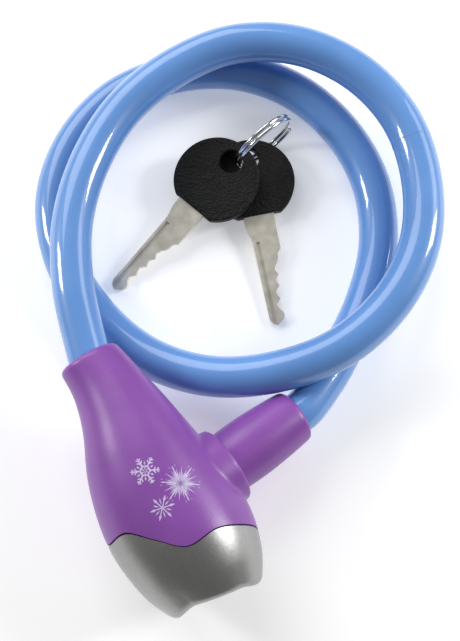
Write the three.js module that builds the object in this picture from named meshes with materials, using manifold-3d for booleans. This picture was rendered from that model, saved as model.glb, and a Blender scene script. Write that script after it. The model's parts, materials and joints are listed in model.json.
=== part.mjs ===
// A child's key-operated cable lock, lying on a table with its two keys on a split ring.
// Units are millimetres, +Z is up and the lock lies on z = 0.
import * as THREE from "three";
import { mergeVertices } from "three/addons/utils/BufferGeometryUtils.js";
import Module from "manifold-3d";

const wasm = await Module();
wasm.setup();

const degrees = THREE.MathUtils.degToRad;
const UP = new THREE.Vector3(0, 0, 1);

// ---------------------------------------------------------------- driving dimensions

const ORIGIN = [11.86, 12.22]; // moves the middle of the lock and its keys to x = 0, y = 0

const lock = {
  neck: [-40.46, -15.67], // centre of the cable mouth on the table plan
  heading: -66.5, // direction from the cable mouth to the key face, degrees
  wall: 2.3,
  seamGap: 0.35,
  keyOpening: 4.7, // radius of the hole in the key face
};

// Stations along the lock body: distance from the cable mouth, middle y, middle z,
// half width and half height of its oval section.
const STATIONS = [
  [0, -0.1, 22.7, 8.4, 8.4],
  [10, 2.4, 22.3, 9.9, 9.7],
  [20, 3.7, 21.6, 12.3, 12.0],
  [32, 3.9, 20.4, 16.0, 15.2],
  [42, 4.5, 19.4, 18.2, 17.4],
  [52, 5.6, 18.7, 19.4, 18.5],
  [60, 6.5, 18.6, 18.8, 18.2],
  [68, 7.2, 18.7, 16.6, 16.2],
  [75, 7.9, 18.9, 12.6, 12.6],
];
const MOUTH_START = 1.4; // where the middle of the mouth's rim lies along x
const MOUTH_TILT_SIDE = -1.15; // how far the rim leans along x on the plug's side
const MOUTH_TILT_TOP = 0.55; // and on top
const END_TILT_SIDE = 0.85; // the key face leans by this much on the plug's side
const END_TILT_TOP = 1.7; // and its top edge stands this much further out
const DISH = 1.4; // depth of the upright channel across the key face
const DISH_EDGES = [0.5, 0.95]; // where it starts to rise and ends, from the face's middle
const LIP = 1.3; // the raised lip on one corner of the key face

// The wavy joint between shell and cap: angle round the body (0 at the plug's side,
// 90 on top) and distance from the mouth. The underside mirrors the top.
const SEAM = [
  [0, 63.4],
  [35, 60.8],
  [62, 59.2],
  [90, 60.4],
  [112, 55.6],
  [133, 51.0],
  [158, 51.3],
  [180, 51.0],
];
const SEAM_MIDDLE = 57;

const socket = {
  rim: [43.0, 24.95, 15.9], // centre of the boss rim
  heading: 103, // direction the plug leaves, in the lock's own plan
  dip: 10, // and how far that direction points down
  bossRadius: 11.4,
  bossRoot: [12.9, -11], // radius and place of the boss's foot inside the body
  boreRadius: 9.15,
  boreDepth: 4,
  throatRadius: 4.7,
};

const plug = {
  pinRadius: 4,
  noseZ: -21,
  grooveRadius: 2.5,
  grooveMiddle: -15,
  grooveWidth: 4.2,
  flangeRadius: 7,
  cupRadius: 5.3,
  cupEnd: 17,
  sleeveEnd: 24,
  // Radius and place of the sleeve's outside, from the socket to the cable.
  sleeveSide: [
    [8.8, -1.7],
    [8.8, 1],
    [8.95, 7],
    [8.75, 13],
    [8.35, 18.5],
    [7.95, 22.8],
    [7.6, 23.7],
    [7.1, 24],
  ],
};

const cable = {
  radius: 6,
  ropeRadius: 3,
  boreRadius: 3.35,
  steps: 56,
  ropeEnds: 1, // steps by which the rope runs on past each end of its sheath
  hiddenLength: 7, // sheath inside the mouth
  heading: -70, // direction of the cable inside the mouth, degrees
};

const rotor = {
  y: 9.6, // axis of the key cylinder
  z: 19,
  radius: 5.8,
  back: 56,
  front: 70.3,
  flangeBack: 54.1,
  clipGroove: [54.5, 55.4],
  clipGrooveRadius: 4.8,
  tenon: 4,
  tenonBack: 53.3,
  keyway: { halfHeight: 4.3, halfWidth: 1.25 },
};
const cam = { back: 52.5, front: 53.9, radius: 5.2, throw: 2.6, pinRadius: 1.1, pinEnd: 51 };
const clip = { outer: 6.6, inner: 5.0, back: 54.65, thick: 0.6, gap: 35 };
const wafer = {
  count: 5,
  first: 58.9,
  pitch: 2.5,
  thick: 1,
  halfHeight: 5.1,
  halfWidth: 2.35,
  play: 0.12, // room for the wafer in its slot, each side
  window: { low: -4.0, high: 4.4, halfWidth: 1.5 },
  wing: { low: 1.3, high: 2.3, out: 4.1 },
};
const spring = { radius: 0.55, pitch: 1.05, turns: 3.4, wire: 0.17, low: -2.9, high: 2.6, room: 4.3 };

// The zinc housing and the rooms in it, as opposite corners in the lock's own frame.
const core = {
  barrelRadius: 7.7,
  barrelBack: 55.9,
  block: [[39.2, 3.5, 9.6], [56.4, 17.2, 25]],
  foot: [[61.2, 5.3, 6.6], [69.8, 13.9, 14]],
  guideRadius: 6.6,
  rotorBore: 6.05,
  clipRoomRadius: 7.0,
  clipRoom: [52.2, 55.8],
  pinBore: 4.35,
  forkRoom: [[39.8, 8.2, 5], [52.6, 13.9, 20.4]],
  footRoom: [[49.8, 8.4, 5], [52.6, 15.2, 23.8]],
};

// The bolt at the bottom of its travel. The fork and its notch lie across the pin's groove.
const bolt = {
  fork: [[-4.7, -0.9, 9.9], [4.7, 0.9, 15.1]],
  notch: [[-2.75, -2, 11.7], [2.75, 2, 16]],
  bridge: [[48, 10, 9.9], [52.2, 12, 11.7]],
  foot: [[51.1, 9, 9.9], [52.2, 14.6, 19.7]],
  yoke: { back: 49, front: 54, low: 10, high: 13.6, halfHeight: 1.35 },
};

// The pin across the cap that holds the housing, and the ribs that it passes through.
const crossPin = { x: 65.5, z: 8.6, radius: 0.95, holeRadius: 1.2, ends: [2.8, 16.4], holeEnd: 22 };
const rib = { back: 61, front: 70, low: 3, high: 11, sides: [[2.6, 4.9], [14.3, 16.6]] };
const ferrule = { outer: 5.6, inner: 3.5, back: 0.5, front: 9.5 };

const key = {
  headRadius: 13.3,
  headThick: 3,
  headBevel: 0.4,
  tangRoom: 0.15, // between the tang and the slot that it sits in
  holeRadius: 3.6,
  holeToMiddle: 7.0,
  chord: 11.4, // flat edge of the head that the blade leaves by, from the head's middle
  bladeThick: 1.8,
  bladeLength: 53.2, // from the ring hole to the tip
  groove: { start: 26.8, low: -3.2, high: -1.7, depth: 0.5 },
};
const keys = [
  { name: "key_1", hole: [0.6, 48.2, 7.3], tip: [-34.5, 7.9] },
  { name: "key_2", hole: [5.4, 50.8, 3.2], tip: [16.1, 0.1] },
];
const ring = {
  near: [1.35, 48.4],
  heading: 39,
  lean: 6,
  outer: 10.7,
  wire: 0.6,
  pitch: 1.36,
  turns: 1.96,
};

// The plain edge of the blade, from the tang to the tip, and below it the cut edge: distance
// from the ring hole and height over the blade's middle.
const KEY_BACK = [
  [9.6, -4.3],
  [16.5, -4.8],
  [22, -5],
  [25.5, -4.1],
  [51.2, -4],
  [53.2, -1.9],
];
const KEY_CUTS = [
  [30.0, 4.1],
  [31.4, 2.9],
  [33.6, 2.4],
  [36.3, 0.9],
  [37.9, 1.7],
  [39.4, 0.6],
  [41.4, 1.2],
  [43.2, -0.2],
  [45.4, 0.6],
  [47.2, -0.8],
  [49.6, 0.6],
  [51.4, 0.5],
  [52.6, -0.8],
];
const KEY_SHOULDER = [
  [18.7, 4.4],
  [9.6, 4.3],
];

// The cable's own line from the mouth to just before the plug sleeve.
const CABLE_ROUTE = [
  [-39.6, -15.5, 22.7],
  [-44.5, 4.0, 23.0],
  [-45.5, 23.9, 22.5],
  [-41.1, 43.4, 21.3],
  [-31.7, 61.0, 20.2],
  [-17.1, 74.5, 19.6],
  [1.0, 82.7, 19.5],
  [20.9, 82.1, 19.8],
  [38.6, 73.0, 20.1],
  [51.1, 57.5, 20.4],
  [56.3, 38.3, 21.0],
  [55.1, 18.4, 21.5],
  [46.5, 0.6, 21.6],
  [31.7, -13.1, 20.7],
  [13.2, -19.5, 16.7],
  [-6.2, -19.7, 11.8],
  [-24.6, -12.9, 8.1],
  [-39.8, 0.3, 6.3],
  [-50.3, 17.2, 6.1],
  [-54.0, 36.7, 6.1],
  [-48.8, 56.0, 6.1],
  [-36.3, 71.4, 6.1],
  [-18.4, 79.7, 6.1],
  [1.5, 81.0, 6.1],
  [20.2, 74.1, 6.1],
  [34.7, 60.4, 6.1],
  [43.6, 42.5, 6.1],
  [45.2, 22.7, 6.1],
  [40.2, 3.4, 6.3],
  [31.2, -14.4, 7.9],
  [26.2, -22.4, 9.6],
  [21.6, -28.6, 11.2],
];

// ---------------------------------------------------------------- materials

function finish(colour, roughness, metalness = 0) {
  return { color: colour, roughness, metalness };
}
const FINISHES = {
  violetPlastic: finish(0x9a52c4, 0.42),
  silverPaint: finish(0xb9babd, 0.38, 0.6),
  blueVinyl: finish(0x86aef0, 0.2),
  steel: finish(0xc4c6c8, 0.3, 1),
  zinc: finish(0xa7a9ab, 0.5, 0.8),
  brass: finish(0xc8a95c, 0.35, 1),
  blackPlastic: finish(0x131313, 0.6),
};

function part(name, geometry, finishName) {
  const mesh = new THREE.Mesh(geometry, new THREE.MeshStandardMaterial(FINISHES[finishName]));
  mesh.name = name;
  return mesh;
}

// ---------------------------------------------------------------- solid helpers

function toSolid(geometry) {
  const bare = geometry.index ? geometry.toNonIndexed() : geometry.clone();
  bare.deleteAttribute("normal");
  bare.deleteAttribute("uv");
  const merged = mergeVertices(bare, 1e-4);
  const mesh = new wasm.Mesh({
    numProp: 3,
    vertProperties: merged.attributes.position.array,
    triVerts: new Uint32Array(merged.index.array),
  });
  return new wasm.Manifold(mesh);
}

function toGeometry(solid) {
  const mesh = solid.getMesh();
  const geometry = new THREE.BufferGeometry();
  geometry.setAttribute("position", new THREE.BufferAttribute(mesh.vertProperties, 3));
  geometry.setIndex(new THREE.BufferAttribute(mesh.triVerts, 1));
  return geometry;
}

function cut(body, ...tools) {
  return toGeometry(tools.reduce((left, tool) => left.subtract(toSolid(tool)), toSolid(body)));
}

function join(body, ...others) {
  return toGeometry(others.reduce((sum, other) => sum.add(toSolid(other)), toSolid(body)));
}

function common(body, other) {
  return toGeometry(toSolid(body).intersect(toSolid(other)));
}

// A turned solid about +Z from [radius, height] pairs that start and end on the axis
// or close on themselves, listed anticlockwise (radius to the right, height up).
function turned(profile, sides = 24) {
  const points = profile.map(([radius, height]) => new THREE.Vector2(radius, height));
  return new THREE.LatheGeometry(points, sides).rotateX(Math.PI / 2);
}

function rod(radius, from, to, sides = 24) {
  return turned([[0, from], [radius, from], [radius, to], [0, to]], sides);
}

function tube(outer, inner, from, to, sides = 24) {
  const profile = [[inner, from], [outer, from], [outer, to], [inner, to], [inner, from]];
  return turned(profile, sides);
}

// Turns a solid made about +Z so that its axis runs along the lock's own x.
function alongX(geometry, y = rotor.y, z = rotor.z) {
  return geometry.rotateY(Math.PI / 2).translate(0, y, z);
}

function box(low, high) {
  const size = high.map((value, axis) => value - low[axis]);
  const middle = high.map((value, axis) => (value + low[axis]) / 2);
  return new THREE.BoxGeometry(...size).translate(...middle);
}

// A smooth value between hand-set stations: row[0] is the place, row[column] the value.
function between(rows, place, column) {
  const last = rows.length - 1;
  const at = THREE.MathUtils.clamp(place, rows[0][0], rows[last][0]);
  const i = Math.min(Math.max(rows.findIndex((row) => row[0] > at) - 1, 0), last - 1);
  const index = at >= rows[last][0] ? last - 1 : i;
  const slope = (k) => {
    const a = rows[Math.max(k - 1, 0)];
    const b = rows[Math.min(k + 1, last)];
    return (b[column] - a[column]) / (b[0] - a[0]);
  };
  const [p, q] = [rows[index], rows[index + 1]];
  const span = q[0] - p[0];
  const t = (at - p[0]) / span;
  const rise = 3 * t * t - 2 * t * t * t;
  const bendIn = t * (1 - t) * (1 - t) * span * slope(index);
  const bendOut = t * t * (t - 1) * span * slope(index + 1);
  return p[column] + (q[column] - p[column]) * rise + bendIn + bendOut;
}

// ---------------------------------------------------------------- lock body

const BODY_END = STATIONS.at(-1)[0];

// How far the body's two ends are pushed along x: the leaning mouth and the leaning,
// dished key face. side and up run from -1 to 1 across the body.
function endShift(x, side, up) {
  const { smoothstep } = THREE.MathUtils;
  const reach = Math.hypot(side, up);
  const nearMouth = 1 - smoothstep(x, MOUTH_START, 16);
  const nearEnd = smoothstep(x, 62, BODY_END);
  const mouth = MOUTH_TILT_SIDE * side + MOUTH_TILT_TOP * up;
  const lean = END_TILT_SIDE * side + END_TILT_TOP * up;
  const dish = DISH * (1 - smoothstep(Math.abs(side), ...DISH_EDGES));
  const corner = reach ? Math.max(0, -side / reach - 0.5) * 2 * smoothstep(reach, 0.75, 0.95) : 0;
  return nearMouth * mouth + nearEnd * (lean - dish + LIP * corner);
}

// Warps a solid turned about +Z (radius 1 is the skin, height is the distance from the
// mouth) onto the body's changing oval section, drawn in by inset.
function warpToBody(geometry, inset = 0) {
  const place = geometry.attributes.position;
  for (let i = 0; i < place.count; i += 1) {
    const x = place.getZ(i);
    const side = place.getX(i);
    const up = place.getY(i);
    const reach = Math.hypot(side, up);
    const cosine = reach ? side / reach : 0;
    const sine = reach ? up / reach : 0;
    const [middleY, middleZ, halfWidth, halfHeight] = [1, 2, 3, 4].map((c) => between(STATIONS, x, c));
    place.setXYZ(
      i,
      x + endShift(x, cosine * reach, sine * reach),
      middleY + cosine * reach * (halfWidth - inset),
      middleZ + sine * reach * (halfHeight - inset),
    );
  }
  return geometry;
}

function bodyStations(from, to, count) {
  return Array.from({ length: count + 1 }, (_, i) => [1, from + ((to - from) * i) / count]);
}

function bodyOuter() {
  const skin = bodyStations(MOUTH_START + 0.8, BODY_END - 1, 17);
  const face = [0.95, 0.75, 0.5, 0].map((reach) => [reach, BODY_END]);
  const profile = [[0, MOUTH_START], [0.92, MOUTH_START], ...skin, ...face];
  return warpToBody(turned(profile, 36));
}

function bodyInner(inset = lock.wall) {
  const end = BODY_END - inset;
  const profile = [[0, 10], ...bodyStations(10, end, 12), [0.5, end], [0, end]];
  return warpToBody(turned(profile, 28), inset);
}

// Everything on the mouth side of the wavy joint, moved along x by shift.
function seamTool(shift) {
  const profile = [[0, -20], [45, -20], [45, 1], [8, 1], [0, 1]];
  const geometry = turned(profile, 48);
  const place = geometry.attributes.position;
  for (let i = 0; i < place.count; i += 1) {
    const side = place.getX(i);
    const up = place.getY(i);
    const angle = Math.abs(THREE.MathUtils.radToDeg(Math.atan2(up, side)));
    const wave = between(SEAM, angle, 1) - SEAM_MIDDLE;
    const onFace = place.getZ(i) > 0;
    const x = onFace ? SEAM_MIDDLE + shift + wave * Math.min(1, Math.hypot(side, up) / 8) : -20;
    place.setXYZ(i, x, 6 + side, 18.6 + up);
  }
  return geometry;
}

// Sets a solid made about +Z on the socket's axis: z = 0 is the boss rim, +z leaves it.
function onSocketAxis(geometry) {
  geometry.applyMatrix4(socketFrame());
  return geometry;
}

function socketFrame() {
  const tip = new THREE.Matrix4().makeRotationY(Math.PI / 2 + degrees(socket.dip));
  const turn = new THREE.Matrix4().makeRotationZ(degrees(socket.heading));
  const move = new THREE.Matrix4().makeTranslation(...socket.rim);
  return move.multiply(turn).multiply(tip);
}

function bodyShell() {
  const [rootRadius, root] = socket.bossRoot;
  const side = [[rootRadius, root], [socket.bossRadius, -0.9], [socket.bossRadius - 0.6, 0]];
  const boss = onSocketAxis(turned([[0, root], ...side, [0, 0]], 32));
  const bore = onSocketAxis(rod(socket.boreRadius, -socket.boreDepth, 3, 32));
  const throat = onSocketAxis(rod(socket.throatRadius, -12, 0));
  const mouth = onCableAxis(turned([[0, -14], [6.9, -14], [6.5, 0], [6.9, 12], [0, 12]]));
  const whole = common(join(bodyOuter(), boss), seamTool(0));
  return cut(whole, bodyInner(), bore, throat, mouth);
}

function endCap() {
  const opening = alongX(rod(lock.keyOpening, rib.back, BODY_END + 15));
  const ribs = rib.sides.map(([low, high]) =>
    common(box([rib.back, low, rib.low], [rib.front, high, rib.high]), bodyOuter()),
  );
  const closed = cut(bodyOuter(), bodyInner(), opening);
  return cut(join(closed, ...ribs), seamTool(lock.seamGap), crossPinHole());
}

// ---------------------------------------------------------------- locking mechanism

// The zinc block that holds the key cylinder, guides the bolt and receives the plug pin.
function coreHousing() {
  const barrel = alongX(rod(core.barrelRadius, core.barrelBack, rotor.front - 0.2));
  const guide = onSocketAxis(rod(core.guideRadius, -14, -6.2));
  const rotorBore = alongX(rod(core.rotorBore, core.barrelBack - 0.3, BODY_END + 5));
  const clipRoom = alongX(rod(core.clipRoomRadius, ...core.clipRoom));
  const pinBore = onSocketAxis(rod(core.pinBore, plug.noseZ - 5, -2));
  const rooms = [clipRoom, box(...core.forkRoom), box(...core.footRoom)];
  const solids = join(barrel, box(...core.block), box(...core.foot), guide);
  const whole = common(solids, bodyInner(lock.wall + 0.4));
  return cut(whole, rotorBore, pinBore, ...rooms, crossPinHole());
}

function acrossFoot(geometry) {
  return geometry.rotateX(-Math.PI / 2).translate(crossPin.x, 0, crossPin.z);
}

function crossPinHole() {
  return acrossFoot(rod(crossPin.holeRadius, 0, crossPin.holeEnd, 12));
}

function retainingPin() {
  return acrossFoot(rod(crossPin.radius, ...crossPin.ends, 12));
}

// The key cylinder: keyway from the front, one slot for each wafer, a spring pocket
// beside each slot, a clip groove and a square tenon for the cam.
function cylinderRotor() {
  const { y, z, radius, back, front, tenon, keyway } = rotor;
  const [grooveBack, grooveFront] = rotor.clipGroove;
  const shaft = [
    [0, rotor.flangeBack],
    [radius, rotor.flangeBack],
    [radius, grooveBack],
    [rotor.clipGrooveRadius, grooveBack],
    [rotor.clipGrooveRadius, grooveFront],
    [radius, grooveFront],
  ];
  const body = alongX(turned([...shaft, [radius, front], [0, front]]));
  const half = tenon / 2;
  const square = box([rotor.tenonBack, y - half, z - half], [rotor.flangeBack + 0.1, y + half, z + half]);
  const { halfHeight: tall, halfWidth: wide } = keyway;
  const hole = box([back + 1, y - tall, z - wide], [front + 1, y + tall, z + wide]);
  const slotHalf = wafer.thick / 2 + wafer.play;
  const slotWide = wafer.halfWidth + 0.2;
  const slots = waferPlaces().flatMap((x) => [
    box([x - slotHalf, y - 7, z - slotWide], [x + slotHalf, y + 7, z + slotWide]),
    box([x - 0.95, y + spring.low, z + 2.5], [x + 0.95, y + spring.high, z + spring.room]),
  ]);
  return cut(join(body, square), hole, ...slots);
}

function waferPlaces() {
  return Array.from({ length: wafer.count }, (_, i) => wafer.first + wafer.pitch * i);
}

// One brass wafer: a flat plate with a window for the key and a wing for its spring.
function waferPlate(x) {
  const { y, z } = rotor;
  const { halfHeight, halfWidth, window: gap, wing: tab } = wafer;
  const half = wafer.thick / 2;
  const plate = box([x - half, y - halfHeight, z - halfWidth], [x + half, y + halfHeight, z + halfWidth]);
  const wing = box([x - half, y + tab.low, z + 2.3], [x + half, y + tab.high, z + tab.out]);
  const window = box([x - 1, y + gap.low, z - gap.halfWidth], [x + 1, y + gap.high, z + gap.halfWidth]);
  return cut(join(plate, wing), window);
}

class Helix extends THREE.Curve {
  constructor(radius, pitch, turns) {
    super();
    Object.assign(this, { radius, pitch, turns });
  }

  getPoint(t, target = new THREE.Vector3()) {
    const angle = 2 * Math.PI * this.turns * t;
    const height = this.pitch * this.turns * (t - 0.5);
    return target.set(this.radius * Math.cos(angle), this.radius * Math.sin(angle), height);
  }
}

function roundSection(radius, sides) {
  const points = Array.from({ length: sides }, (_, i) => {
    const angle = (2 * Math.PI * i) / sides;
    return new THREE.Vector2(radius * Math.cos(angle), radius * Math.sin(angle));
  });
  return new THREE.Shape(points);
}

function waferSpring(x) {
  const helix = new Helix(spring.radius, spring.pitch, spring.turns);
  const options = { steps: 24, extrudePath: helix, curveSegments: 1, bevelEnabled: false };
  const coil = new THREE.ExtrudeGeometry(roundSection(spring.wire, 5), options);
  return coil.rotateX(Math.PI / 2).translate(x, rotor.y - 0.75, rotor.z + 3.4);
}

function rotorClip() {
  const [start, end] = [degrees(clip.gap), degrees(360 - clip.gap)];
  const shape = new THREE.Shape();
  shape.absarc(0, 0, clip.outer, start, end, false);
  shape.absarc(0, 0, clip.inner, end, start, true);
  const options = { depth: clip.thick, bevelEnabled: false, curveSegments: 20 };
  return alongX(new THREE.ExtrudeGeometry(shape, options).translate(0, 0, clip.back));
}

// The cam sits on the tenon. Its pin starts 45 degrees below the level line.
function camDisc() {
  const { y, z } = rotor;
  const disc = alongX(rod(cam.radius, cam.back, cam.front));
  const half = rotor.tenon / 2 + 0.12;
  const floor = rotor.tenonBack - 0.2;
  const pocket = box([floor, y - half, z - half], [cam.front + 1, y + half, z + half]);
  const slide = cam.throw * Math.SQRT1_2;
  const pin = alongX(rod(cam.pinRadius, cam.pinEnd, cam.back + 0.3, 14), y + slide, z - slide);
  return join(cut(disc, pocket), pin);
}

// The bolt: a fork that closes on the pin's groove from below, and a foot with a slot
// that the cam's pin lifts.
function lockingBolt() {
  const centre = new THREE.Vector3(0, 0, plug.grooveMiddle).applyMatrix4(socketFrame());
  const turn = degrees(socket.heading - 90);
  const upright = (geometry) => geometry.rotateZ(turn).translate(centre.x, centre.y, 0);
  const fork = cut(upright(box(...bolt.fork)), upright(box(...bolt.notch)));
  const middle = rotor.z - cam.throw * Math.SQRT1_2;
  const { back, front, low, high, halfHeight } = bolt.yoke;
  const yoke = box([back, low, middle - halfHeight], [front, high, middle + halfHeight]);
  return cut(join(fork, box(...bolt.bridge), box(...bolt.foot)), yoke);
}

// ---------------------------------------------------------------- cable and plug

function cablePath() {
  const onSocket = socketInPlan();
  const route = CABLE_ROUTE.map((point) => new THREE.Vector3(...point));
  const points = [cableStart(), ...route, onSocket(plug.sleeveEnd), onSocket(plug.cupEnd + 0.5)];
  const curve = new THREE.CatmullRomCurve3(points, false, "catmullrom", 0.5);
  curve.arcLengthDivisions = 1200;
  return curve;
}

// The end of the sheath inside the mouth.
function cableStart() {
  const inward = new THREE.Vector3(1, 0, 0).applyAxisAngle(UP, degrees(cable.heading));
  return new THREE.Vector3(...CABLE_ROUTE[0]).addScaledVector(inward, cable.hiddenLength);
}

// The rope follows its sheath step by step and runs on straight past both ends.
function ropePath() {
  const curve = cablePath();
  const stops = curve.getSpacedPoints(cable.steps);
  const runOn = (curve.getLength() / cable.steps) * cable.ropeEnds;
  stops.unshift(stops[0].clone().addScaledVector(curve.getTangentAt(0), -runOn));
  stops.push(stops.at(-1).clone().addScaledVector(curve.getTangentAt(1), runOn));
  const path = new THREE.CurvePath();
  stops.slice(1).forEach((stop, i) => path.add(new THREE.LineCurve3(stops[i], stop)));
  return path;
}

// Sets a solid made about +Z on the cable's end in the lock body's frame: z = 0 is the
// end of the sheath and +z runs deeper into the body.
function onCableAxis(geometry) {
  const inward = cablePath().getTangentAt(0).negate();
  const turn = new THREE.Quaternion().setFromUnitVectors(UP, inward);
  const { x, y, z } = cableStart();
  return geometry.applyQuaternion(turn).translate(x, y, z).applyMatrix4(lockGroupMatrix().invert());
}

// Gives the place in the table plan of a point on the socket's axis.
function socketInPlan() {
  const frame = lockGroupMatrix().multiply(socketFrame());
  return (along) => new THREE.Vector3(0, 0, along).applyMatrix4(frame);
}

function lockGroupMatrix() {
  const turn = new THREE.Matrix4().makeRotationZ(degrees(lock.heading));
  return new THREE.Matrix4().makeTranslation(...lock.neck, 0).multiply(turn);
}

function cableSheath() {
  const section = roundSection(cable.radius, 12);
  section.holes.push(new THREE.Path(roundSection(cable.boreRadius, 12).getPoints().reverse()));
  const options = { steps: cable.steps, extrudePath: cablePath(), bevelEnabled: false };
  return new THREE.ExtrudeGeometry(section, options);
}

function steelRope() {
  const steps = cable.steps + 2 * cable.ropeEnds;
  const options = { steps, extrudePath: ropePath(), bevelEnabled: false };
  return new THREE.ExtrudeGeometry(roundSection(cable.ropeRadius, 8), options);
}

// The crimped end that keeps the cable in the lock, on the rope just inside the mouth.
function cableFerrule() {
  return onCableAxis(tube(ferrule.outer, ferrule.inner, ferrule.back, ferrule.front));
}

function plugSleeve() {
  const { sleeveSide, sleeveEnd: end, cupEnd } = plug;
  const inside = cable.radius + 0.6;
  const start = [plug.cupRadius + 0.3, sleeveSide[0][1]];
  const shelf = cupEnd + 0.1;
  const profile = [start, ...sleeveSide, [inside, end], [inside, shelf], [start[0], shelf], start];
  return turned(profile, 32);
}

function lockingPin() {
  const { pinRadius: r, grooveRadius: slim, grooveMiddle: mid, grooveWidth: width } = plug;
  const profile = [
    [0, plug.noseZ],
    [r - 1.2, plug.noseZ],
    [r, plug.noseZ + 1.4],
    [r, mid - width / 2],
    [slim, mid - width / 2],
    [slim, mid + width / 2],
    [r, mid + width / 2],
    [r, -3.7],
    [plug.flangeRadius, -3.7],
    [plug.flangeRadius, -2.1],
    [plug.cupRadius, -2.1],
    [plug.cupRadius, plug.cupEnd - 0.4],
    [cable.ropeRadius + 0.3, plug.cupEnd - 0.4],
    [cable.ropeRadius + 0.3, 1],
    [0, 1],
  ];
  return turned(profile);
}

// ---------------------------------------------------------------- keys and ring

// A key lies along its own +x from the middle of its ring hole, with its underside at z = 0.
function keyHead() {
  const { headRadius: r, holeToMiddle: middle, chord, holeRadius, headThick, headBevel: bevel } = key;
  const corner = Math.acos((chord - bevel) / (r - bevel));
  const shape = new THREE.Shape();
  shape.absarc(middle, 0, r - bevel, corner, 2 * Math.PI - corner, false);
  shape.closePath();
  const hole = new THREE.Path();
  hole.absarc(0, 0, holeRadius + bevel, 0, 2 * Math.PI, true);
  shape.holes.push(hole);
  const options = {
    depth: headThick - 2 * bevel,
    bevelSize: bevel,
    bevelThickness: bevel,
    bevelSegments: 1,
    curveSegments: 20,
  };
  const head = new THREE.ExtrudeGeometry(shape, options).translate(0, 0, bevel);
  const side = (headThick - key.bladeThick) / 2 - key.tangRoom;
  return cut(head, box([9.2, -5.1, side], [30, 4.65, headThick - side]));
}

// The blade: tang inside the head, shoulder, cuts along one edge and a groove.
function keyBlade() {
  const outline = [...KEY_BACK, ...KEY_CUTS.toReversed(), ...KEY_SHOULDER];
  const shape = new THREE.Shape(outline.map(([x, y]) => new THREE.Vector2(x, y)));
  const plate = new THREE.ExtrudeGeometry(shape, { depth: key.bladeThick, bevelEnabled: false });
  const lift = (key.headThick - key.bladeThick) / 2;
  const { start, low, high, depth } = key.groove;
  const floor = lift + key.bladeThick - depth;
  const channel = box([start, low, floor], [key.bladeLength + 2, high, floor + 4]);
  return cut(plate.translate(0, 0, lift), channel);
}

// Lays a key down: its ring hole raised on the ring, the tip of its blade on the table.
function keyGroup({ name, hole, tip }) {
  const group = new THREE.Group();
  const run = Math.hypot(tip[0] - hole[0], tip[1] - hole[1]);
  const drop = hole[2] + (key.headThick - key.bladeThick) / 2 - key.tangRoom;
  group.position.set(...hole);
  group.rotation.order = "ZYX";
  group.rotation.z = Math.atan2(tip[1] - hole[1], tip[0] - hole[0]);
  group.rotation.y = Math.atan2(drop, run);
  group.add(part(`${name}_head`, keyHead(), "blackPlastic"));
  group.add(part(`${name}_blade`, keyBlade(), "steel"));
  return group;
}

// A split ring of two touching turns, standing on edge and leaning over a little.
function splitRing() {
  const radius = ring.outer - ring.wire;
  const helix = new Helix(radius, ring.pitch, ring.turns);
  const options = { steps: 56, extrudePath: helix, bevelEnabled: false };
  const coil = new THREE.ExtrudeGeometry(roundSection(ring.wire, 6), options);
  return coil.rotateX(Math.PI / 2);
}

// ---------------------------------------------------------------- assembly

function buildPlug() {
  const group = new THREE.Group();
  group.applyMatrix4(socketFrame());
  group.add(part("locking_pin", lockingPin(), "steel"));
  group.add(part("plug_sleeve", plugSleeve(), "violetPlastic"));
  return group;
}

function buildLock() {
  const group = new THREE.Group();
  group.position.set(...lock.neck, 0);
  group.rotation.z = degrees(lock.heading);
  group.add(part("body_shell", bodyShell(), "violetPlastic"));
  group.add(part("end_cap", endCap(), "silverPaint"));
  group.add(part("core_housing", coreHousing(), "zinc"));
  group.add(part("retaining_pin", retainingPin(), "steel"));
  group.add(part("cylinder_rotor", cylinderRotor(), "zinc"));
  waferPlaces().forEach((x, i) => {
    group.add(part(`wafer_${i + 1}`, waferPlate(x), "brass"));
    group.add(part(`wafer_spring_${i + 1}`, waferSpring(x), "steel"));
  });
  group.add(part("rotor_clip", rotorClip(), "steel"));
  group.add(part("cam", camDisc(), "steel"));
  group.add(part("locking_bolt", lockingBolt(), "steel"));
  group.add(part("cable_ferrule", cableFerrule(), "steel"));
  group.add(buildPlug());
  return group;
}

function buildRing() {
  const mesh = part("split_ring", splitRing(), "steel");
  const heading = degrees(ring.heading);
  const x = ring.near[0] + ring.outer * Math.cos(heading);
  const y = ring.near[1] + ring.outer * Math.sin(heading);
  const lean = degrees(ring.lean);
  const aside = ring.outer * Math.sin(lean);
  const standing = ring.outer * Math.cos(lean) + 2 * ring.wire * Math.abs(Math.sin(lean)) + 0.05;
  mesh.position.set(x + aside * Math.sin(heading), y - aside * Math.cos(heading), standing);
  mesh.rotation.order = "ZYX";
  mesh.rotation.z = heading;
  mesh.rotation.x = lean;
  return mesh;
}

const assembly = new THREE.Group();
assembly.position.set(ORIGIN[0], ORIGIN[1], 0);
assembly.add(buildLock());
assembly.add(part("cable_sheath", cableSheath(), "blueVinyl"));
assembly.add(part("steel_rope", steelRope(), "steel"));
keys.forEach((entry) => assembly.add(keyGroup(entry)));
assembly.add(buildRing());

const cableLock = new THREE.Group();
cableLock.add(assembly);
export default cableLock;
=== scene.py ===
"""A child's key cable lock on a table: the looks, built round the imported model.

Shapes are worked out in millimetres and scaled to metres when a mesh is made.
"""

import json
import math

import bmesh
import bpy
import numpy as np
from mathutils import Matrix, Vector


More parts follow.
